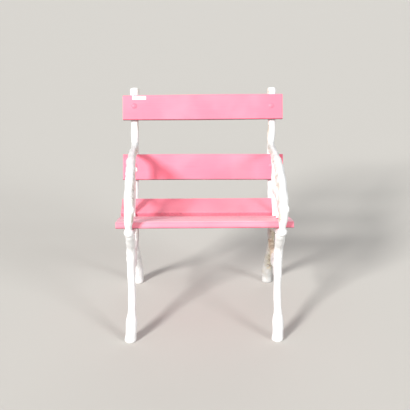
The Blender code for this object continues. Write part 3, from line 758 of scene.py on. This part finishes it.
def armBranches():
    # two stems through the gaps between the seat boards, and three twigs that cross them
    gap, rise, rear = stemFoot(1)
    head = leaning(gap, rise)
    rear += [(*toward(gap, head, level), girth, thick) for level, girth, thick in (
        (0.18, 0.95, 1.0), (0.42, 1.08, 1.1), (0.7, 0.92, 1.0), (1.0, 1.15, 1.15))]
    joint = toward(gap, head, 0.42)

    gap, rise, front = stemFoot(0)
    reach = gap[0] - limbs["armFrontY"]

    def off(start, across, up):
        return start + np.array([across * reach, up * rise])

    fork, cross = off(gap, -0.015, 0.26), off(gap, 0.044, 0.48)
    front += [(*fork, 1.0, 1.05), (*cross, 1.05, 1.15), (*off(gap, 0.22, 0.74), 0.9, 1.0),
              (*off(gap, 0.29, 1.0), 1.1, 1.1)]
    start, landing = armPoint(0.0, 0.79), armPoint(0.517, 0.0)
    twigs = (
        [(*start, 1.2, 1.2), (*off(start, 0.37, 0.05), 1.0, 1.05), (*off(fork, -0.22, 0.08), 0.95, 1.0),
         (*cross, 1.15, 1.2), (*off(toward(cross, joint, 0.39), 0.0, -0.04), 0.95, 1.0), (*joint, 1.1, 1.1)],
        [(*off(fork, 0.03, -0.067), 1.0, 1.0), (*off(fork, -0.25, 0.2), 1.0, 1.1),
         (*off(fork, -0.48, 0.33), 0.9, 1.0), (*armPoint(0.09, 0.29), 1.1, 1.1)],
        [(*off(cross, -0.03, -0.045), 1.0, 1.0), (*off(toward(cross, landing, 0.4), 0.0, -0.03), 0.95, 1.05),
         (*off(toward(cross, landing, 0.72), 0.0, -0.05), 0.9, 1.0), (*landing, 1.1, 1.1)])
    stems = [Limb(rear, limbs["stemRadius"], 0.5, sides=30), Limb(front, limbs["stemRadius"], 1.4, sides=30)]
    return stems + [Limb(twig, limbs["twigRadius"], phase, sides=28)
                    for twig, phase in zip(twigs, (2.2, 0.0, 0.9))]


def allTwigs():
    # each stub: where it starts (y, z), the way it points (x, y, z), its radius and length
    gap, rise, _ = stemFoot(1)
    post = lowerBack.under(0.72 * chair["boardWidth"], postDrop)
    return [sawnTwig(*twig) for twig in (
        (leaning(gap, 0.76 * rise), (1.0, 0.1, 0.1), 0.0088, 0.019),
        (armPoint(0.0, 0.553), (1.0, 0.0, 0.1), 0.011, 0.0188),
        (armPoint(0.288, 0.06), (-1.0, -0.1, 0.25), 0.0095, 0.0176),
        ((bowY, 0.7 * knotPoint()[1]), (0.1, 1.0, 0.5), 0.01, 0.0271),
        (post, (0.1, 0.9, 0.5), 0.009, 0.026))]


def readField(items, key, width, kind):
    found = np.zeros(len(items) * width, dtype=kind)
    items.foreach_get(key, found)
    return found


def fused(skins):
    # one closed shell round all the skins, from Blender's voxel remesh
    points = [skin[0] for skin in skins]
    starts = np.cumsum([0] + [len(some) for some in points])
    faces = ([skin[k] + start for skin, start in zip(skins, starts)] for k in (1, 2))
    raw = makeMesh("fusing", *(np.concatenate(part) for part in (points, *faces)))
    shape = addObject("fusing", raw)
    remesh = shape.modifiers.new("remesh", "REMESH")
    remesh.mode = "VOXEL"
    remesh.voxel_size = limbs["voxel"]
    graph = bpy.context.evaluated_depsgraph_get()
    result = bpy.data.meshes.new_from_object(shape.evaluated_get(graph))
    found = readField(result.vertices, "co", 3, np.float32).reshape(-1, 3).astype(float)
    edges = readField(result.edges, "vertices", 2, np.int32).reshape(-1, 2)
    corners = readField(result.loops, "vertex_index", 1, np.int32).reshape(-1, 4)
    bpy.data.objects.remove(shape)
    bpy.data.meshes.remove(raw)
    bpy.data.meshes.remove(result)
    return found, edges, corners


def summed(spots, values, count):
    # for each of a number of points, the sum of the rows of values that name it
    return np.stack([np.bincount(spots, values[:, k], count) for k in range(3)], axis=1)


def relaxed(points, edges, rounds):
    # each round moves every point half the way to the mean of its neighbours
    size, (first, second) = len(points), edges.T
    count = np.bincount(edges.ravel(), minlength=size)[:, None]
    for _ in range(rounds):
        total = summed(first, points[second], size) + summed(second, points[first], size)
        points = points + 0.5 * (total / count - points)
    return points


def surfaceNormals(points, quads):
    # a point's normal is the mean of the cross products of its faces' diagonals
    a, b, c, d = (points[quads[:, k]] for k in range(4))
    return unit(summed(quads.ravel(), np.repeat(np.cross(c - a, d - b), 4, axis=0), len(points)))


def alongLimbs(points, branches):
    # for each point: the limb it belongs to, the run along it, the turn round it, and how surely
    best, second = np.full((2, len(points)), 1e9)
    limb = np.zeros(len(points), dtype=int)
    run, turn = np.zeros((2, len(points)))
    flat = points[:, 1:]
    for index, branch in enumerate(branches):
        square = ((flat ** 2).sum(axis=1)[:, None] + (branch.middle ** 2).sum(axis=1)[None]
                  - 2 * flat @ branch.middle.T)
        near = square.argmin(axis=1)
        away, along = flat - branch.middle[near], branch.along[near]
        side = away[:, 1] * along[:, 0] - away[:, 0] * along[:, 1]
        reach = np.sqrt(np.maximum(square[np.arange(len(near)), near], 0) + points[:, 0] ** 2)
        share = reach / ((branch.wide + branch.thick) / 2)[near]
        closer = share < best
        second = np.minimum(second, np.maximum(best, share))
        best = np.minimum(best, share)
        limb[closer] = index
        run[closer] = (branch.run[near] + (away * along).sum(axis=1))[closer]
        turn[closer] = np.arctan2(side, points[:, 0])[closer]
    return limb, run, turn, smoothStep(0.05, 0.6, second - best)


def barkHeight(points, limb, run, turn, radius):
    # grooves where a wandering wave round the limb crosses nought, broken up by noise, on a rough skin
    wander = 1.4 * np.sin(run / 0.031 + 1.7 * limb) + 0.9 * np.sin(run / 0.0135 + 2.6 * limb)
    count = np.round(math.tau * radius / limbs["groovePitch"] / 2)
    wave = np.abs(np.sin(count * turn + wander))
    broken = smoothStep(-0.45, 0.35, softNoise(points * (1, 1, 0.7), 0.017, 5))
    groove = -(1 - smoothStep(0.0, 0.55, wave)) * broken
    rough = softNoise(points, 0.0085, 11) * 0.55 + softNoise(points, 0.021, 3) * 0.9
    return limbs["grooveDepth"] * (groove + 0.5 * rough)


def keepClear(points):
    # points inside a board's room go to its nearest side, and none stands past a washer's flat face
    width = halfWidth + chair["edgeRoom"]
    far = padLevel - stackDepth
    for board in boards:
        across, height = board.measure(points)
        inside = (np.abs(across) < width) & (height > padLevel) & (height < chair["edgeRoom"] + 0.004)
        sideways, down = width - np.abs(across), height - padLevel
        goSide, goDown = inside & (sideways < down), inside & (sideways >= down)
        points[goSide, 1:] += (np.sign(across[goSide]) * sideways[goSide])[:, None] * board.across
        points[goDown, 1:] -= down[goDown][:, None] * board.normal
        across, height = board.measure(points)
        room = np.hypot(points[:, 0], across - board.bolt) < limbs["bossRadius"] + 0.0012
        beyond = room & (height < far + 0.0004) & (height > far - 0.03)
        points[beyond, 1:] += (far - height[beyond])[:, None] * board.normal
    return points


def nearBoards(points):
    # distance of each point to the nearest board's room
    best = np.full(len(points), 1.0)
    for board in boards:
        across, height = board.measure(points)
        side = np.maximum(np.abs(across) - halfWidth, 0)
        level = np.maximum(np.maximum(height, -chair["boardThickness"] - height), 0)
        best = np.minimum(best, np.hypot(side, level))
    return best


def castShape():
    # the limbs and their trim fused into one skin, eased at the forks and given bark
    branches = [rearPost(), frontLeg(), armLimb(), seatRail(), legBrace()] + armBranches()
    skins = [branch.skin(limbs["lumpSeed"] + index) for index, branch in enumerate(branches)]
    skins += allTwigs() + [frontKnot(), footPad(limbs["frontFootY"]), footPad(limbs["rearFootY"])]
    skins += [seatPad(board) for board in boards] + [boltBoss(board) for board in boards]
    rough, edges, quads = fused(skins)
    print("casting fused:", len(rough), "points")
    points = relaxed(rough, edges, limbs["filletRounds"])
    points += surfaceNormals(points, quads) * limbs["shrinkage"]
    sole = rough[:, 2] < limbs["soleHeight"]
    points[sole] = rough[sole] + (points[sole] - rough[sole]) * (rough[sole, 2:] / limbs["soleHeight"])
    limb, run, turn, sure = alongLimbs(points, branches)
    radius = np.array([branch.radius for branch in branches])[limb]
    flat = smoothStep(0.002, 0.006, nearBoards(points)) * smoothStep(0.002, 0.012, points[:, 2])
    height = barkHeight(points, limb, run, turn, radius) * (0.25 + 0.75 * sure) * flat
    points = keepClear(points + surfaceNormals(points, quads) * height[:, None])
    points[:, 2] = np.where(points[:, 2] < 0.0006, 0.0, points[:, 2])
    hollow = ((relaxed(points, edges, 10) - points) * surfaceNormals(points, quads)).sum(axis=1) / 0.0006
    return points, quads, limb, np.clip(hollow, -1, 1)


def grimeAndShadeOn(name, side, points, normals, limb, patchy):
    # heavy on the rear leg, deeper on its faces turned from the light as painted shade; some on the rail's
    # downward faces towards the rear, the brace, the soles and the inner faces
    y, z = points[:, 1], points[:, 2]
    post, rail, brace = (limb == index for index in (0, 3, 4))  # as castShape lists the limbs
    settled, share = limbs["grimeFrom"][name], limbs["grimeShare"][name]
    rear = post * smoothStep(settled - 0.03, settled + 0.13, z + patchy)
    # faces turned towards +X get more and faces towards -X less: painted shade on the side away from the key
    # light, over the real dirt
    rear *= share * (0.82 + 0.3 * normals[:, 0] + 0.8 * patchy)
    rear = np.maximum(rear, post * (limbs["footGrime"][name] + patchy))
    return np.maximum.reduce([
        rear * (1 - smoothStep(0.29, 0.39, z + patchy * 0.4)),
        rail * smoothStep(0.1, -0.6, normals[:, 2]) * smoothStep(-0.16, -0.05, y) * 0.6,
        brace * smoothStep(-0.045, 0.005, y + patchy * 0.3) * 0.95 * share,
        (1 - smoothStep(0.0, 0.012, z)) * 0.45,
        smoothStep(0.1, 0.7, -side * normals[:, 0]) * smoothStep(0.42, 0.46, z) * (0.62 + 2.2 * patchy)])


def racked(name, side, points, front):
    # the casting on its side of the chair, its legs, arm and top a little out of true
    z = points[:, 2]
    low = limbs["rearSway"][name] * np.clip((0.42 - z) / 0.42, 0, 1) ** 1.5
    sway = eased(limbs["swayLevels"], limbs["legSway"][name], z)
    arm = limbs["armLean"][name] * front * smoothStep(0.4, 0.48, z)
    top = limbs["topLean"][name] * smoothStep(0.56, 0.66, z)
    moved = points.copy()
    moved[:, 0] += side * chair["frameX"] + low * (1 - front) + sway * front + arm + top
    moved[:, 1] -= chair["footprintY"]
    return moved


def buildFrames():
    points, quads, limb, hollow = castShape()
    normals = surfaceNormals(points, quads)
    patchy = 0.1 * softNoise(points, 0.035, 71) + 0.05 * softNoise(points, 0.012, 72)
    smear = 1 - smoothStep(0.0, 0.006, nearBoards(points))
    front = 1 - smoothStep(-0.13, 0.05, points[:, 1])
    settling = (1 - front) * (1 - smoothStep(0.2, 0.37, points[:, 2] + patchy)) * (1 + 2 * patchy)
    for side, name in ((-1, "left"), (1, "right")):
        mesh = makeMesh(name + "CastIronFrame", racked(name, side, points, front), quads, hollow=hollow,
                        grime=grimeAndShadeOn(name, side, points, normals, limb, patchy), smear=smear,
                        dull=settling * limbs["footDull"][name])
        print(name, "end frame:", 2 * len(quads), "triangles")
        addPiece(mesh, ironFinish, "painted_casting", name + "_end_frame")


buildFrames()


# Boards

timber = {
    "edgeRounding": 0.0032,
    "frontRounding": 0.0115,
    "endRounding": 0.0016,
    "profileStep": 0.004,
    "rows": 220,
    "wave": 0.00012,
    "waveSeed": 20,
    "dent": 0.0007,
    "hang": 0.003,
    "lift": 0.003,
    "crooked": {"top_back": (0.0038, 0.0023, 0.0), "lower_back": (0.0, 0.0, 0.0015)},
    # per seat board, its painted highlight: a share on its edges, then a share on its upper face
    "faded": {"front_seat": (0.2, 1.0), "middle_seat": (0.12, 0.85), "rear_seat": (0.04, 0.21)},
    # how dark the painted shade along the lower edge is on the middle and rear seat boards
    "underShade": {"middle_seat": (0.43, 0.0), "rear_seat": (0.43, 0.0)},
}


def boardProfile(frontRadius):
    # a rectangle with an arc at each corner, the seat's front corner rounder, and each point's way out
    thick, plain = chair["boardThickness"], timber["edgeRounding"]
    outline = []
    for sideA, sideH, radius, start in ((-1, -1, plain, -180), (1, -1, plain, -90), (1, 1, plain, 0),
                                        (-1, 1, frontRadius, 90)):
        turn = np.radians(np.linspace(start, start + 90, 7))
        corner = np.array([sideA * halfWidth, 0.0 if sideH > 0 else -thick])
        way = around(turn)
        outline.append(np.hstack([corner - np.array([sideA, sideH]) * radius + way * radius, way]))
    outline.append(outline[0][:1])
    closed = np.concatenate(outline)
    run = np.concatenate([[0], np.cumsum(np.linalg.norm(np.diff(closed[:, :2], axis=0), axis=1))])
    extra = np.arange(0.0015, run[-1], timber["profileStep"])
    every = np.unique(np.concatenate([run[:-1], extra]).round(6))
    found = np.stack([np.interp(every, run, closed[:, k]) for k in range(4)], axis=1)
    return found[:, :2], unit(found[:, 2:])


def boardRings(frontRadius):
    # the profile carried along X, drawn in at the ends by a quarter circle
    profile, ways = boardProfile(frontRadius)
    flat, ease = chair["boardLength"] / 2 - timber["endRounding"], timber["endRounding"]
    turn = np.radians(np.linspace(0, 90, 6))
    ends, inset = flat + ease * np.sin(turn), ease * (1 - np.cos(turn))
    x = np.concatenate([-ends[::-1], np.linspace(0.002 - flat, flat - 0.002, timber["rows"]), ends])
    draw = np.concatenate([inset[::-1], np.zeros(timber["rows"]), inset])
    local = np.zeros((len(x), len(profile), 3))
    local[..., 0] = x[:, None]
    local[..., 1:] = profile - draw[:, None, None] * ways
    return local, ways


def bendBoard(tag, local, low):
    # local points a little out of true, as the real boards are
    width, level = chair["boardWidth"], local[..., 2] / chair["boardThickness"]
    if tag == "front_seat":  # its lower front edge hangs a little lower than the rest
        local[..., 2] -= timber["hang"] * smoothStep(-0.3, -0.9, level) * (1 - smoothStep(0.006, 0.024, low))
    if tag == "rear_seat":  # its rear edge stands a little proud
        local[..., 2] += timber["lift"] * smoothStep(0.4, 1.0, low / width) * smoothStep(-0.7, -0.2, level)
    upperLeft, lowerRight, slide = timber["crooked"].get(tag, (0.0, 0.0, 0.0))
    share = local[..., 1] / width + 0.5
    leftward = np.clip((0.05 - local[..., 0]) / 0.35, 0, 1)
    rightward = np.clip((0.03 + local[..., 0]) / 0.33, 0, 1)
    local[..., 1] += (lowerRight * (1 - share) - slide) * rightward - upperLeft * share * leftward


def makeBoard(board, seed):
    # a planed board with slow waves, worn corners and its own bend
    tag, thick = board.tag, chair["boardThickness"]
    local, ways = boardRings(timber["frontRounding" if tag == "front_seat" else "edgeRounding"])
    local[..., 2] += timber["wave"] * softNoise(local * (1, 2.5, 0.1), 0.05, seed)
    nearSide = np.maximum(halfWidth - np.abs(local[..., 1]), 0)
    nearFace = np.maximum(np.minimum(-local[..., 2], thick + local[..., 2]), 0)
    worn = smoothStep(0.35, 0.95, softNoise(local * (0.7, 1, 1), 0.011, seed + 9))
    worn *= np.exp(-(nearSide + nearFace) / 0.0035)
    local[..., 1:] -= timber["dent"] * worn[..., None] * np.sign(local[..., 1:] - (0.0, -thick / 2))
    low = halfWidth + local[..., 1]
    floor = thick + local[..., 2]
    bendBoard(tag, local, low)
    # rim marks every edge and end, for the painted shadow line there and for edge wear
    rim = np.exp(-np.hypot(nearSide, nearFace) / 0.0022)
    rim = np.maximum(rim, np.exp(-(chair["boardLength"] / 2 - np.abs(local[..., 0])) / 0.002))
    # the lower edge painted dark as shade, on the front seat board a little further under, its darkness made
    # uneven by noise
    if tag == "front_seat":
        low = np.maximum(low - 0.003, floor)
    under = 1 - smoothStep(0.0012, 0.0042, low)
    shade, uneven = timber["underShade"].get(tag, (0.78, 0.22))
    under *= shade + uneven * softNoise(local * 0.3, 0.02, seed + 5)
    # the paler pink of a painted highlight, more on the upper face than on the edges, none on the underside
    edgeHighlight, topHighlight = timber["faded"].get(tag, (0.0, 0.0))
    faded = edgeHighlight + (topHighlight - edgeHighlight) * smoothStep(0.7, 1.0, ways[:, 1])
    faded = faded * smoothStep(-thick, -thick * 0.8, local[..., 2])
    mesh = makeMesh(camelName(tag, "board", "timber"), *closedSkin(board.settle(local)), sharp=50,
                    rim=np.append(rim, (0.2, 0.2)), under=np.append(under, (0.5, 0.5)),
                    faded=np.append(faded, (0.0, 0.0)))
    addPiece(mesh, timberFinish, "painted_timber", tag + "_board")


for index, board in enumerate(boards):
    makeBoard(board, timber["waveSeed"] + index)
print("boards made")


# Cup bolts, washers and nuts

hardware = {
    "cupRadius": 0.0103,
    "cupHeight": 0.0034,
    "shank": 0.004,
    "threadPitch": 0.00125,
    "threadDepth": 0.0004,
    "threadLength": 0.016,
    "tipReach": (0.0033, 0.0026),
    "past": 0.003,
    "washerRadius": 0.0085,
    "washerThickness": 0.0016,
    "washerPlay": 0.0004,
    "nutFlats": 0.013,
    "nutThickness": 0.0065,
    "nutPlay": 0.0002,
    "sharp": 34,
}


def boltRings(tip):
    # a domed head, a plain shank, and a thread whose depth follows the run less the turn
    cup, high, shank = hardware["cupRadius"], hardware["cupHeight"], hardware["shank"]
    ball = (cup ** 2 + high ** 2) / (2 * high)
    lean = np.linspace(0.04, math.asin(cup / ball), 11)
    low = chair["clearance"]
    thread = tip + hardware["threadLength"]
    levels = np.concatenate([low + high - ball * (1 - np.cos(lean)), [low, low, thread]])
    levels[len(lean) - 1] += 0.0003
    reach = np.concatenate([ball * np.sin(lean), [cup * 0.985, shank, shank]])
    run = np.arange(thread - 0.0003, tip + 0.0008, -hardware["threadPitch"] / 6)
    wave = np.abs((run[:, None] / hardware["threadPitch"] - circle(24) / math.tau) % 1.0 - 0.5) * 2
    reach = np.vstack([reach[:, None] * np.ones(24), shank - hardware["threadDepth"] * wave,
                       np.array(hardware["tipReach"])[:, None] * np.ones(24)])
    return turned(np.concatenate([levels, run, [tip + 0.0004, tip]]), reach, 24)


def washerRings():
    # a flat ring with eased edges, its outline carried round the axis
    outer, ease = hardware["washerRadius"], 0.0003
    bore = hardware["shank"] + hardware["washerPlay"]
    thickness = hardware["washerThickness"]
    levels = [0, 0, -ease, -thickness + ease, -thickness, -thickness, -thickness + ease, -ease]
    reach = [bore + ease, outer - ease, outer, outer, outer - ease, bore + ease, bore, bore]
    return turned(levels, reach, 40)


def nutRings():
    # a hexagon held inside a cone at both ends: reach is the smaller of the two at each turn
    flats, ease = hardware["nutFlats"] / 2, 0.0005
    bore = hardware["shank"] + hardware["nutPlay"]
    thickness, sector = hardware["nutThickness"], math.radians(60)
    hexagon = flats / np.cos(circle(60) % sector - sector / 2)
    outer = np.array([0, 0.0003, 0.0008, 0.0014, thickness / 2, thickness - 0.0014, thickness - 0.0008,
                      thickness - 0.0003, thickness])
    cone = flats * 0.985 + np.minimum(outer, thickness - outer) * 1.75
    inner = np.array([bore + ease, bore, bore, bore + ease])[:, None] * np.ones(60)
    depth = np.concatenate([[0], outer, [thickness, thickness - ease, ease]])
    return turned(-depth, np.vstack([inner[:1], np.minimum(hexagon, cone[:, None]), inner[:3]]), 60)


def fitHardware():
    washerTop = padLevel - stackDepth - chair["clearance"]
    nutTop = washerTop - hardware["washerThickness"] - chair["clearance"]
    tip = nutTop - hardware["nutThickness"] - hardware["past"]
    kinds = (("bolt", 0.0, boltRings(tip), boltFinish, "painted_bolt"),
             ("washer", washerTop, washerRings(), zincFinish, "galvanised_hardware"),
             ("nut", nutTop, nutRings(), zincFinish, "galvanised_hardware"))
    for board in boards:
        for side, end in ((-1, "left"), (1, "right")):
            for kind, level, rings, finish, slot in kinds:
                # each nut stands at its own turn
                swing = 0.9 * side + len(board.tag) * 0.37 if kind == "nut" else 0.0
                cos, sin = math.cos(swing), math.sin(swing)
                local = rings @ np.array([[cos, sin, 0], [-sin, cos, 0], [0, 0, 1]])
                local += (side * chair["frameX"], board.bolt, level)
                skin = closedSkin(board.settle(local), looped=kind != "bolt")
                mesh = makeMesh(camelName(kind, board.tag, end), *skin, sharp=hardware["sharp"])
                addPiece(mesh, finish, slot, f"{kind}_{board.tag}_{end}")


fitHardware()
print("bolts, washers and nuts made")


# Blank plate on the top board

plate = {
    "left": 0.0355,
    "below": 0.0062,
    "size": (0.052, 0.014),
    "thickness": 0.0009,
    "inward": (0.0, 0.0, 0.0, 0.0005, 0.0012, 0.003, 0.006),
    "rise": (-0.1, 0.4, 0.65, 0.88, 0.92, 0.98, 1.0),
    "rim": (1.0, 1.0, 0.9, 0.5, 0.2, 0.0, 0.0),
}


def makePlate():
    # a thin rounded rectangle, slightly domed: rings from its rim in to its middle
    size, sides = np.array(plate["size"]), 72
    shrink = 1 - np.array(plate["inward"])[:, None] * 2 / size
    rings = roundedOutline(size, 0.12, sides) * shrink[:, None, :]
    corner = np.array([plate["left"] - chair["boardLength"] / 2, halfWidth - plate["below"]])
    middle = corner + size / 2 * (1, -1)
    local = stacked(rings + middle, np.array(plate["rise"]) * plate["thickness"])
    rim = np.append(np.repeat(plate["rim"], sides), (1.0, 0.0))
    addPiece(makeMesh("blankPlate", *closedSkin(topBack.settle(local)), rim=rim), plateFinish, None)


makePlate()
print("plate made")


# Floor, light and camera

studio = {
    "floor": (0.535, 0.517, 0.484),
    "cloud": 0.97,
    "floorReach": 16.0,
    "world": (0.95, 0.97, 1.0),
    "worldStrength": 0.17,
    "lens": 74.985,
    "sensor": 36.0,
    "clipEnd": 60.0,
    "cameraPlace": (-0.0435, -2.9113, 1.489),
    "cameraTilt": (69.57, 0.0, -0.945),
}

# each sun: its turn from -Y towards +X, its height and its spread, in degrees, then strength and colour
suns = {
    "key": (-36, 26, 12, 4.25, (1.0, 0.985, 0.965)),
    "fill": (44, 24, 17, 1.4, (0.96, 0.98, 1.0)),
    "low": (4, 6, 50, 0.14, (1.0, 1.0, 1.0)),
    "top": (0, 86, 100, 0.8, (1.0, 1.0, 1.0)),
    "back": (172, 27, 44, 0.6, (0.98, 0.99, 1.0)),
}


def makeFloor():
    made = Finish("plainPaleFloor", Roughness=0.9)
    darker = tuple(studio["cloud"] * part for part in studio["floor"])
    colour = made.mix(made.noise(3, 2, 0.5) * 0.25, studio["floor"], darker)
    made.feed({"Base Color": colour})
    points = studio["floorReach"] * np.array([(-1, -1, 0), (1, -1, 0), (1, 1, 0), (-1, 1, 0)])
    floor = addObject("floor", makeMesh("floor", points, np.array([[0, 1, 2, 3]])))
    floor.data.materials.append(made.material)


def addSun(name, turn, height, spread, strength, colour):
    light = bpy.data.lights.new(name + "Light", "SUN")
    light.energy = strength
    light.angle = math.radians(spread)
    light.color = colour
    lamp = addObject(name + "Light", light)
    lamp.rotation_euler = (math.radians(90 - height), 0.0, math.radians(turn))


def makeStudio():
    scene, world = bpy.context.scene, bpy.data.worlds.new("paleStudio")
    scene.world = world
    world.use_nodes = True
    sky = world.node_tree.nodes["Background"]
    sky.inputs["Color"].default_value = (*studio["world"], 1.0)
    sky.inputs["Strength"].default_value = studio["worldStrength"]
    for name, settings in suns.items():
        addSun(name, *settings)
    lens = bpy.data.cameras.new("camera")
    lens.lens = studio["lens"]
    lens.sensor_width = studio["sensor"]
    lens.clip_end = studio["clipEnd"]
    camera = addObject("camera", lens)
    camera.location = studio["cameraPlace"]
    camera.rotation_euler = [math.radians(turn) for turn in studio["cameraTilt"]]
    scene.camera = camera
    scene.view_settings.view_transform = "Standard"
    scene.view_settings.look = "None"


makeFloor()
makeStudio()
print("studio made")
